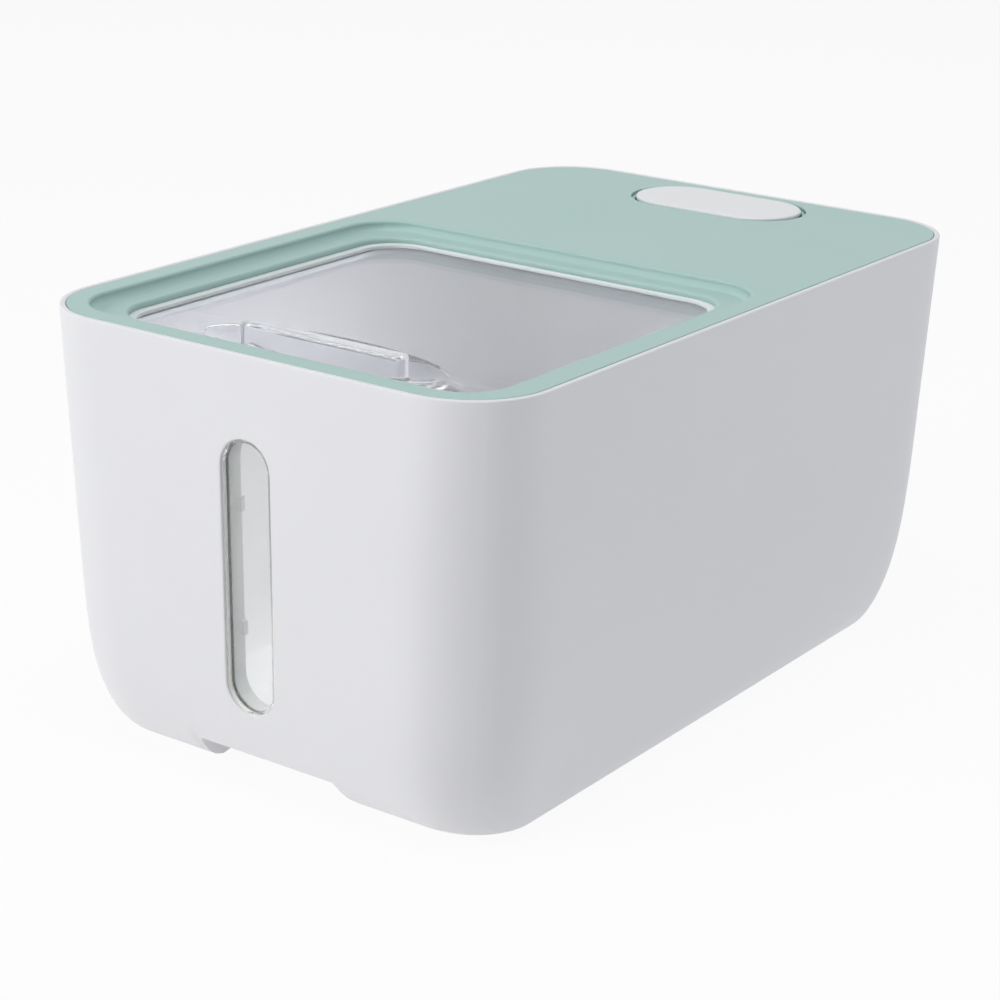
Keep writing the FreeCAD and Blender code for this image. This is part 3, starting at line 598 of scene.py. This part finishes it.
def build_lid(sizes, material):
    """The mint lid in one skin: edge, top, sunken step, opening, cap hole and skirt, and its bosses.

    Each of them is a profile of lines and quarter circles, carried round a rounded rectangle, or
    round a circle for the bosses. Flat faces join them.
    """
    edge, lip = sizes.lid_round / MM, sizes.step_round / MM
    top, under = RIM, RIM - LID_THICK
    step_top, step_under = RIM - STEP_DEPTH, RIM - STEP_DEPTH - STEP_THICK
    skirt_in = SKIRT_INSET + SKIRT_WALL
    rim = swept([(skirt_in, under), (skirt_in, LID_LOW + BEVEL), (skirt_in - BEVEL, LID_LOW),
                 (SKIRT_INSET + BEVEL, LID_LOW), (SKIRT_INSET, LID_LOW + BEVEL), (SKIRT_INSET, under),
                 (SMALL_BEVEL, under), (0.0, under + SMALL_BEVEL)] +
                arc((edge, top - edge), edge, 180, 90) + [(edge + STRIP, top)], LID[0], LID[1], LID_CORNER)

    front = LID[1] - EDGE_BAND
    step = (LID[0] - EDGE_BAND, (STEP_BACK + front) / 2, STEP_CORNER, (STEP_BACK - front) / 2)
    # The step's wall goes round an edge and a foot, with a short straight stretch between them.
    stretch = 0.2
    foot = STEP_DEPTH - lip - stretch
    wall = swept([(-lip - STRIP, top)] + arc((-lip, top - lip), lip, 90, 0) +
                 arc((foot, step_top + foot), foot, 180, 270, 8) + [(foot + STRIP, step_top)], *step)
    hole = (OPEN_SIDE + OPEN_WIDER, (OPEN_BACK + OPEN_FRONT) / 2, OPEN_CORNER, (OPEN_BACK - OPEN_FRONT) / 2)
    ease, bevel = sizes.opening_round / MM, SMALL_BEVEL
    mouth = swept([(-ease - STRIP, step_top)] + arc((-ease, step_top - ease), ease, 90, 0) +
                  arc((-bevel, step_under + bevel), bevel, 0, -90, 3) +
                  [(-bevel - STRIP, step_under)], *hole)
    back_wall = swept([(bevel - STEP_WALL, step_under), (-STEP_WALL, step_under + bevel),
                       (-STEP_WALL, under)], *step)

    gap = (CAP_HALF + HOLE_GAP, CAP_SIDE + HOLE_GAP, CAP_SIDE + HOLE_GAP, CAP_MIDDLE, LYING)
    pocket = swept([(-BEVEL - STRIP, top)] + arc((-BEVEL, top - BEVEL), BEVEL, 90, 0, 4) +
                   [(0.0, under)], *gap)

    # The bosses are tubes for the screws, sunk a little into the plate's underside.
    sunk, nose = 0.2, 0.2
    turn = np.linspace(0, 2 * math.pi, 25)[:-1]
    radius, height = np.array([(BOSS_RADIUS, under + sunk), (BOSS_RADIUS, step_under + nose),
                               (BOSS_RADIUS - nose, step_under), (BOSS_HOLE, step_under),
                               (BOSS_HOLE, under + sunk)]).T[:, :, None]
    ring = np.stack(np.broadcast_arrays(radius * np.cos(turn), radius * np.sin(turn), height), -1)
    bosses = [tube(ring + (side * (LID[0] - BOSS_INSET), place, 0.0))
              for side in (-1, 1) for place in (-BOSS_SPREAD, 0.0, BOSS_SPREAD)]
    patches = [grid(rim), flat(rim[-1], wall[0], pocket[0]), grid(wall),
               grid(np.stack([wall[-1], mouth[0]])), grid(mouth), grid(np.stack([mouth[-1], back_wall[0]])),
               grid(back_wall), grid(pocket), flat(rim[0], back_wall[-1], pocket[-1])]
    fit(make("mint_lid", patches + bosses), "lid", "mint_lid", material, "lid_frame")


def seal_ring(name, node, low, high, wide, corner, mid_y, ease, material):
    """A closed ring of rubber: a rounded rectangle as its section, carried round a larger one."""
    half_x, half_y = high[0], (high[1] - low[1]) / 2
    path = (arc((ease, low[2] + ease), ease, 180, 270, 5) +
            arc((wide - ease, low[2] + ease), ease, 270, 360, 5) +
            arc((wide - ease, high[2] - ease), ease, 0, 90, 5) +
            arc((ease, high[2] - ease), ease, 90, 180, 5))
    fit(make(name, [tube(swept(path, half_x, half_y, corner, mid_y))]), "lid", "silicone", material, node)


def build_seals(material):
    """The ring under the lid's skirt and the ring between the lid's step and the clear cover."""
    seal_ring("lid_gasket", "lid_seal", LID_SEAL_LOW, LID_SEAL_HIGH, LID_SEAL_WIDE,
              LID_CORNER - SKIRT_INSET, 0.0, LID_SEAL_ROUND, material)
    middle = (COVER_SEAL_LOW[1] + COVER_SEAL_HIGH[1]) / 2
    seal_ring("cover_gasket", "cover_seal", COVER_SEAL_LOW, COVER_SEAL_HIGH, COVER_SEAL_WIDE,
              OPEN_CORNER + COVER_SEAL_HIGH[0] - OPEN_SIDE, middle, COVER_SEAL_ROUND, material)


# Sliding cover


def bowl_rings(extra, top, root, count=14):
    """Rings down an oval bowl, from its rim at a height to the outline that stands in it.

    Both ends are taken as places on the bowl's unit disc, and the rings between them stand at the
    squares of even shares of the way. The depth at a place is the whole depth times one less the
    square of its distance from the middle.
    """
    reach = np.array([SCOOP_LONG + extra, SCOOP_WIDE + extra])
    depth = SCOOP_DEPTH + extra
    inner = root / reach
    square = inner / np.abs(inner).max(0)
    disc = square * np.sqrt(1 - square[:, ::-1] ** 2 / 2)
    disc /= np.linalg.norm(disc, axis=1)[:, None]
    start = math.sqrt(1 - (COVER_TOP - top) / depth)
    share = (np.linspace(0, 1, count + 1) ** 2)[:, None, None]
    place = disc * start * (1 - share) + inner * share
    height = COVER_TOP - depth * (1 - (place ** 2).sum(-1))
    return np.concatenate([place * reach + np.array([0, SCOOP_MIDDLE]), height[..., None]], -1)


def build_cover(sizes, material):
    """The clear cover in one skin: plate, oval scoop and a hollow fin that stands across it.

    The scoop's rim rolls over in a quarter circle along the oval's outward normal. Quarter circles
    also lead from the bowl up to the fin and over the fin's top edge.
    """
    fin_round, root_round, rim_round, ease = sizes.fin_round / MM, 1.0, 0.8, 0.6
    top, under = COVER_TOP, COVER_TOP - COVER_THICK
    fin_top, ceiling = COVER_HIGH[2], COVER_HIGH[2] - FIN_WALL
    centre = np.array([0, SCOOP_MIDDLE])
    quarter = np.radians(np.linspace(0, 90, 7))

    def fin(grow):
        """The fin's outline about the scoop's middle, grown by a width all round."""
        corner = max(FIN_CORNER + grow, SMALL_BEVEL)
        return outline(FIN_LONG + grow, FIN_WIDE + grow, corner, 0.0, FIN_OUTLINE)

    plate = (COVER_HIGH[0], (COVER_HIGH[1] - COVER_LOW[1]) / 2, COVER_CORNER,
             (COVER_HIGH[1] + COVER_LOW[1]) / 2)
    edge = swept([(ease + STRIP, under)] + arc((ease, under + ease), ease, 270, 180) +
                 arc((ease, top - ease), ease, 180, 90) + [(ease + STRIP, top)], *plate)

    # Upper skin: the scoop's rounded rim, its bowl, and the fin with its root and its top edge.
    bowl = bowl_rings(0.0, top, fin(root_round))
    mouth, foot = bowl[0, :, :2], bowl[-1, :, 2:]
    out = (mouth - centre) / np.array([SCOOP_LONG, SCOOP_WIDE]) ** 2
    out /= np.linalg.norm(out, axis=1)[:, None]
    far = raised(mouth + out * (rim_round + STRIP), top)
    lip = [raised(mouth + out * (rim_round * (1 - math.cos(angle))), top - rim_round * (1 - math.sin(angle)))
           for angle in quarter[::-1]]
    below = bowl[:, :, 2].max(1) < top - rim_round - SMALL_BEVEL
    neck = [raised(fin(root_round * (1 - math.sin(angle))) + centre,
                   foot + root_round * (1 - math.cos(angle)))
            for angle in np.radians(np.linspace(0, 90, 6))[1:]]
    shoulder = [raised(fin(-fin_round * (1 - math.cos(angle))) + centre,
                       fin_top - fin_round * (1 - math.sin(angle))) for angle in quarter]
    crown = raised(fin(-fin_round - SMALL_BEVEL) + centre, fin_top)
    upper = np.stack([far] + lip + list(bowl[below]) + neck + shoulder + [crown])

    # Lower skin: the bowl one wall further out, and the hollow in the fin.
    hollow = fin(-FIN_WALL)
    lower = np.concatenate([bowl_rings(SCOOP_WALL, under, hollow), [
        raised(hollow + centre, ceiling - STRIP), raised(fin(-FIN_WALL - STRIP) + centre, ceiling)]])
    patches = [grid(edge), flat(edge[-1], upper[0]), grid(upper), flat(upper[-1]),
               flat(edge[0], lower[0]), grid(lower), flat(lower[-1])]
    fit(make("clear_cover", patches), "cover", "clear_plastic", material, "slide_cover")


# Cap and sachet


def build_cap(sizes, material):
    """The small round-ended cap: a faintly domed top, a rounded edge and a short skirt below.

    The dome's rise at a place is the whole rise times one less the square of how far out it is.
    """
    ease, dome = sizes.cap_round / MM, sizes.cap_dome / MM
    top, under, low = CAP_HIGH[2], CAP_HIGH[2] - CAP_THICK, CAP_LOW[2]
    brow = top - dome
    share = np.linspace(0.06, 1, 9)
    swell = np.stack([CAP_SIDE - (CAP_SIDE - ease) * share, brow + dome * (1 - share * share)], 1).tolist()
    bevel, skirt_out, skirt_in = SMALL_BEVEL, CAP_SKIRT_INSET, CAP_SKIRT_INSET + CAP_SKIRT
    path = swell + arc((ease, brow - ease), ease, 90, 180) + [
        (0.0, under + bevel), (bevel, under), (skirt_out, under), (skirt_out, low + bevel),
        (skirt_out + bevel, low), (skirt_in - bevel, low), (skirt_in, low + bevel), (skirt_in, under),
        (skirt_in + STRIP, under)]
    side = CAP_SIDE - CAP_NARROW
    rings = swept(path, CAP_HALF - CAP_SHORT, side, side, CAP_MIDDLE, LYING)
    fit(make("tray_cap", [grid(rings), flat(rings[0]), flat(rings[-1])]), "cap", "white_cap", material,
        "desiccant_cap")


def build_pack(material):
    """The sachet: a pillow whose height is a product of two crowns, with flat crimped ends.

    u runs along it and v across it, both from -1 to 1. The crimp is a sine across the ends, and the
    granules are a product of two sines that bend with each other.
    """
    low, high = PACK_LOW, PACK_HIGH
    along, across = 61, 33
    crimped, ridge, slack, film = 0.9, 0.07, 0.15, 0.08
    u, v = np.meshgrid(np.linspace(-1, 1, along), np.linspace(-1, 1, across), indexing="ij")
    crown = np.clip(1 - (np.abs(u) / crimped) ** 4, 0, 1) ** 0.6 * np.clip(1 - np.abs(v) ** 3, 0, 1) ** 0.6
    crimp = ridge * np.sin(v * math.pi * 14) * np.clip((np.abs(u) - crimped) / 0.04, 0, 1) * (1 - v ** 8)
    grains = 0.1 * np.sin(u * 31 + 2 * np.sin(v * 9)) * np.sin(v * 17 + u * 5) * crown
    half = (high[2] - low[2]) / 2
    swell = (half - slack) * crown * (0.9 + grains)
    inner = (np.abs(u) < 0.999) & (np.abs(v) < 0.999)
    x = u * high[0] * (1 - 0.01 * (1 - np.abs(v)))
    y = CAP_MIDDLE + v * (high[1] - low[1]) / 2 * (1 - 0.03 * crown[:, across // 2][:, None])
    middle = low[2] + half
    skin = [np.stack([x, y, middle + side * (swell + film * inner) + crimp], -1) for side in (1, -1)]
    piece = make("desiccant_sachet", [grid(part, around=False) for part in skin], 60.0)
    fit(piece, "lid", "pack_paper", material, "desiccant_pack")


# Stage


def white_seen(tree, lit, strength, bounce=0.0):
    """Mixes what is lit with plain white, for the rays that no matt surface has scattered.

    strength is the share of white that those rays see, and bounce the share that the others see,
    and so the light that this gives to the object.
    """
    depth = add(tree, "ShaderNodeLightPath").outputs["Diffuse Depth"]
    straight = add(tree, "ShaderNodeMath", {0: depth, 1: 0.5}, operation="LESS_THAN")
    share = add(tree, "ShaderNodeMath", {0: straight.outputs[0], 1: strength - bounce, 2: bounce},
                operation="MULTIPLY_ADD")
    kind = "ShaderNodeBackground" if lit.node.type == "BACKGROUND" else "ShaderNodeEmission"
    white = add(tree, kind, {"Color": (1, 1, 1, 1), "Strength": 1.0})
    return add(tree, "ShaderNodeMixShader", {0: share.outputs[0], 1: lit, 2: white.outputs[0]}).outputs[0]


def build_stage(scene):
    """A pale floor, soft lamps, a plain world and the camera at the photograph's angle."""
    sizes = scene.container_sizes
    half = 6.0
    corners = [(-half, -half, 0), (half, -half, 0), (half, half, 0), (-half, half, 0)]
    mesh = bpy.data.meshes.new("floor")
    mesh.from_pydata(corners, [], [(0, 1, 2, 3)])
    ground = bpy.data.objects.new("floor", mesh)
    scene.collection.objects.link(ground)
    material, tree = new_finish("painted_floor")
    matt = add(tree, "ShaderNodeBsdfDiffuse", {"Color": linear("#F2F2F2")})
    add(tree, "ShaderNodeOutputMaterial", {
        "Surface": white_seen(tree, matt.outputs["BSDF"], sizes.floor_white, sizes.floor_glow)})
    mesh.materials.append(material)

    world = bpy.data.worlds.new("soft_room")
    world.use_nodes = True
    tree = world.node_tree
    tree.nodes.clear()
    # Real polypropylene walls let light in all round. Here more comes in through the clear parts.
    inward = add(tree, "ShaderNodeLightPath").outputs["Is Transmission Ray"]
    level = add(tree, "ShaderNodeMath", {0: inward, 1: sizes.inner_light, 2: sizes.room_light},
                operation="MULTIPLY_ADD")
    room = add(tree, "ShaderNodeBackground", {"Color": linear("#F4F6FA"), "Strength": level.outputs[0]})
    add(tree, "ShaderNodeOutputWorld", {"Surface": white_seen(tree, room.outputs["Background"], 1.0)})
    scene.world = world

    aim = Vector((0, 0, RIM * MM / 2))
    plain, cool = (1.0, 1.0, 1.0), (0.86, 0.93, 1.0)
    # Each lamp's name, place and width in metres, power and colour.
    lamps = (("key_lamp", (-1.2, -2.2, 1.2), 1.6, sizes.key_light, plain),
             ("top_lamp", (0.2, -0.2, 2.4), 2.2, sizes.top_light, plain),
             ("fill_lamp", (1.8, 1.0, 0.5), 1.0, sizes.fill_light, cool))
    for name, place, wide, power, tint in lamps:
        lamp = bpy.data.lights.new(name, "AREA")
        lamp.shape = "DISK"
        lamp.size = wide
        lamp.energy = power
        lamp.color = tint
        holder = bpy.data.objects.new(name, lamp)
        holder.location = place
        holder.rotation_euler = (Vector(place) - aim).to_track_quat("Z", "Y").to_euler()
        scene.collection.objects.link(holder)

    camera = bpy.data.cameras.new("camera")
    camera.sensor_width = SENSOR
    camera.lens = VIEW_FOCAL / IMAGE * SENSOR
    camera.shift_x = (IMAGE / 2 - VIEW_CENTRE[0]) / IMAGE
    camera.shift_y = (VIEW_CENTRE[1] - IMAGE / 2) / IMAGE
    back = Vector((math.sin(VIEW_AZIMUTH) * math.cos(VIEW_RISE),
                   -math.cos(VIEW_AZIMUTH) * math.cos(VIEW_RISE), math.sin(VIEW_RISE)))
    right = Vector((math.cos(VIEW_AZIMUTH), math.sin(VIEW_AZIMUTH), 0))
    up = back.cross(right)
    tilted_right = right * math.cos(VIEW_ROLL) + up * math.sin(VIEW_ROLL)
    tilted_up = up * math.cos(VIEW_ROLL) - right * math.sin(VIEW_ROLL)
    holder = bpy.data.objects.new("camera", camera)
    turn = Matrix((tilted_right, tilted_up, back)).transposed().to_4x4()
    holder.matrix_world = Matrix.Translation(aim + back * VIEW_DISTANCE) @ turn
    scene.collection.objects.link(holder)
    scene.camera = holder
    scene.view_settings.view_transform = "Standard"


# Add-on


def length_setting(name, description, default):
    """A size that the panel shows with its unit."""
    return bpy.props.FloatProperty(name=name, description=description, default=default, min=0.0,
                                   subtype="DISTANCE", unit="LENGTH", precision=5)


def colour_setting(name, description, code):
    """A colour whose default is an sRGB hex code."""
    return bpy.props.FloatVectorProperty(name=name, description=description, default=linear(code),
                                         subtype="COLOR", size=4, min=0.0, max=1.0)


def share_setting(name, description, default):
    """A part of a whole, from 0 to 1."""
    return bpy.props.FloatProperty(name=name, description=description, default=default, min=0.0, max=1.0,
                                   subtype="FACTOR")


def strength_setting(name, description, default):
    """How many times plain white a light is."""
    return bpy.props.FloatProperty(name=name, description=description, default=default, min=0.0)


def power_setting(name, description, default):
    """A lamp's power in watts."""
    return bpy.props.FloatProperty(name=name, description=description, default=default, min=0.0,
                                   subtype="POWER", unit="POWER")


class ContainerSizes(bpy.types.PropertyGroup):
    """Roundings and stage levels that a user would change."""
    rim_round: length_setting("Rim rounding", "Radius of the bin's rolled rim", 0.6 * MM)
    slot_round: length_setting("Window edge", "Radius of the edge of the sight window's slot", 0.8 * MM)
    lid_round: length_setting("Lid edge", "Radius of the lid's outer edge", 0.35 * MM)
    step_round: length_setting("Step edge", "Radius of the edge of the lid's sunken step", 1.2 * MM)
    opening_round: length_setting("Opening edge", "Radius of the edge of the lid's opening", 1.4 * MM)
    fin_round: length_setting("Fin edge", "Radius along the top of the cover's fin", 1.1 * MM)
    cap_round: length_setting("Cap edge", "Radius of the cap's upper edge", 0.9 * MM)
    cap_dome: length_setting("Cap dome", "Rise of the cap's top over its edge", 0.25 * MM)
    floor_white: share_setting("Floor whiteness", "Share of plain white in the floor as seen", 0.92)
    floor_glow: share_setting("Floor glow", "Share of plain white that the floor gives off as light", 0.36)
    room_light: strength_setting("Room light", "Strength of the light from all round", 0.13)
    inner_light: strength_setting("Inner light", "Strength of the light in through the clear parts", 1.95)
    key_light: power_setting("Key lamp", "Power of the lamp at the front left", 33.0)
    top_light: power_setting("Top lamp", "Power of the lamp overhead", 31.0)
    fill_light: power_setting("Fill lamp", "Power of the lamp at the right", 6.0)


class ContainerColours(bpy.types.PropertyGroup):
    """Colours of the finishes."""
    shell: colour_setting("Bin", "Colour of the bin", "#ECECEF")
    lid: colour_setting("Lid", "Colour of the lid", "#AFCDC8")
    pane: colour_setting("Clear cover", "Tint of the cover", "#F8F8F9")
    lens: colour_setting("Window lens", "Tint of the window's lens", "#E9E9E6")
    frame: colour_setting("Window frame", "Colour of the frame behind the lens", "#C6C9CC")
    rubber: colour_setting("Seals", "Colour of the silicone seals", "#E6EDEC")
    cap: colour_setting("Cap", "Colour of the cap and the runners", "#EEF0F2")


class CONTAINER_OT_bin(bpy.types.Operator):
    """Make the white bin with its rim, lid shelf, channel and window slot"""
    bl_idname = "container.bin"
    bl_label = "Bin"
    bl_options = {"REGISTER", "UNDO"}

    def execute(self, context):
        sizes, colours = context.scene.container_sizes, context.scene.container_colours
        # Moulded polypropylene off a satin tool: soft, wide highlights and a very even white.
        build_shell(sizes, moulded("moulded_polypropylene_white", colours.shell, 0.42))
        return {"FINISHED"}


class CONTAINER_OT_window(bpy.types.Operator):
    """Make the sight window's lens and seal, and finish its retainer"""
    bl_idname = "container.window"
    bl_label = "Sight window"
    bl_options = {"REGISTER", "UNDO"}

    def execute(self, context):
        colours = context.scene.container_colours
        # Clear styrene, polished, with a little haze in it, which lightens what shows through. Its index
        # is 1.59, and lower here because the photograph shows only faint lines along its edges.
        build_lens(clear("polished_clear_styrene_lens", colours.lens, 0.16, 1.1, through=0.86))
        # Silicone: slightly see-through rubber with a soft dull shine.
        build_window_seal(moulded("moulded_silicone_seal", colours.rubber, 0.5, 1.41, soft=0.3))
        # Polypropylene in pale grey, satin like the bin: a soft edge behind the lens.
        coat(["window_retainer"], moulded("moulded_polypropylene_frame", colours.frame, 0.45))
        return {"FINISHED"}


class CONTAINER_OT_lid(bpy.types.Operator):
    """Make the mint lid and its two seals"""
    bl_idname = "container.lid"
    bl_label = "Lid and seals"
    bl_options = {"REGISTER", "UNDO"}

    def execute(self, context):
        sizes, colours = context.scene.container_sizes, context.scene.container_colours
        # ABS coloured through, off a satin tool: a little duller than the bin.
        build_lid(sizes, moulded("moulded_abs_mint", colours.lid, 0.45, 1.54, grain=0.9, relief=0.015))
        # White silicone, as round the window.
        build_seals(moulded("moulded_silicone_gasket", colours.rubber, 0.5, 1.41, soft=0.3))
        return {"FINISHED"}


class CONTAINER_OT_cover(bpy.types.Operator):
    """Make the clear sliding cover, and finish its runners and screws"""
    bl_idname = "container.cover"
    bl_label = "Sliding cover"
    bl_options = {"REGISTER", "UNDO"}

    def execute(self, context):
        sizes, colours = context.scene.container_sizes, context.scene.container_colours
        # Clear styrene off a polished tool: glossy, with hardly any haze, at a lower index as for the
        # lens.
        build_cover(sizes, clear("polished_clear_styrene_cover", colours.pane, 0.03, 1.13, through=0.96))
        # Acetal is slippery and takes a smoother face than the bin: a tighter highlight.
        coat(["runner_left", "runner_right"], moulded("moulded_acetal_runner", colours.cap, 0.35, 1.48))
        # Zinc plating on steel: a bright, slightly clouded metal.
        coat(["runner_screws"], steel("zinc_plated_steel"))
        return {"FINISHED"}


class CONTAINER_OT_cap(bpy.types.Operator):
    """Make the cap and the desiccant sachet, and finish the tray"""
    bl_idname = "container.cap"
    bl_label = "Desiccant cap and tray"
    bl_options = {"REGISTER", "UNDO"}

    def execute(self, context):
        sizes, colours = context.scene.container_sizes, context.scene.container_colours
        # ABS off a smoother tool, so the cap has a tighter highlight than the lid.
        build_cap(sizes, moulded("moulded_abs_cap", colours.cap, 0.38, 1.54))
        # Spun paper lets moisture through: matt, with fibres that show.
        build_pack(paper("spun_paper_sachet"))
        # The tray is moulded with the lid's ABS, so the gap round the cap shows mint.
        coat(["desiccant_tray"], moulded("moulded_abs_tray", colours.lid, 0.45, 1.54))
        return {"FINISHED"}


class CONTAINER_OT_stage(bpy.types.Operator):
    """Make the floor, the lamps, the world and the camera"""
    bl_idname = "container.stage"
    bl_label = "Stage"
    bl_options = {"REGISTER", "UNDO"}

    def execute(self, context):
        build_stage(context.scene)
        return {"FINISHED"}


OPERATORS = (CONTAINER_OT_bin, CONTAINER_OT_window, CONTAINER_OT_lid, CONTAINER_OT_cover, CONTAINER_OT_cap,
             CONTAINER_OT_stage)


class CONTAINER_PT_panel(bpy.types.Panel):
    """Buttons for the pieces, with the sizes and colours above them"""
    bl_label = "Container"
    bl_space_type = "VIEW_3D"
    bl_region_type = "UI"
    bl_category = "Container"

    def draw(self, context):
        for group in (context.scene.container_sizes, context.scene.container_colours):
            column = self.layout.column(align=True)
            for name in group.__annotations__:
                column.prop(group, name)
        for operator in OPERATORS:
            self.layout.operator(operator.bl_idname)


CLASSES = (ContainerSizes, ContainerColours) + OPERATORS + (CONTAINER_PT_panel,)


def register():
    """Registers the classes and hangs their sizes and colours on the scene."""
    for item in CLASSES:
        bpy.utils.register_class(item)
    bpy.types.Scene.container_sizes = bpy.props.PointerProperty(type=ContainerSizes)
    bpy.types.Scene.container_colours = bpy.props.PointerProperty(type=ContainerColours)


def unregister():
    """Takes back what register did."""
    del bpy.types.Scene.container_colours
    del bpy.types.Scene.container_sizes
    for item in reversed(CLASSES):
        bpy.utils.unregister_class(item)


def main():
    """Makes every piece and the stage."""
    register()
    for operator in OPERATORS:
        group, name = operator.bl_idname.split(".")
        getattr(getattr(bpy.ops, group), name)()


if __name__ == "__main__":
    main()
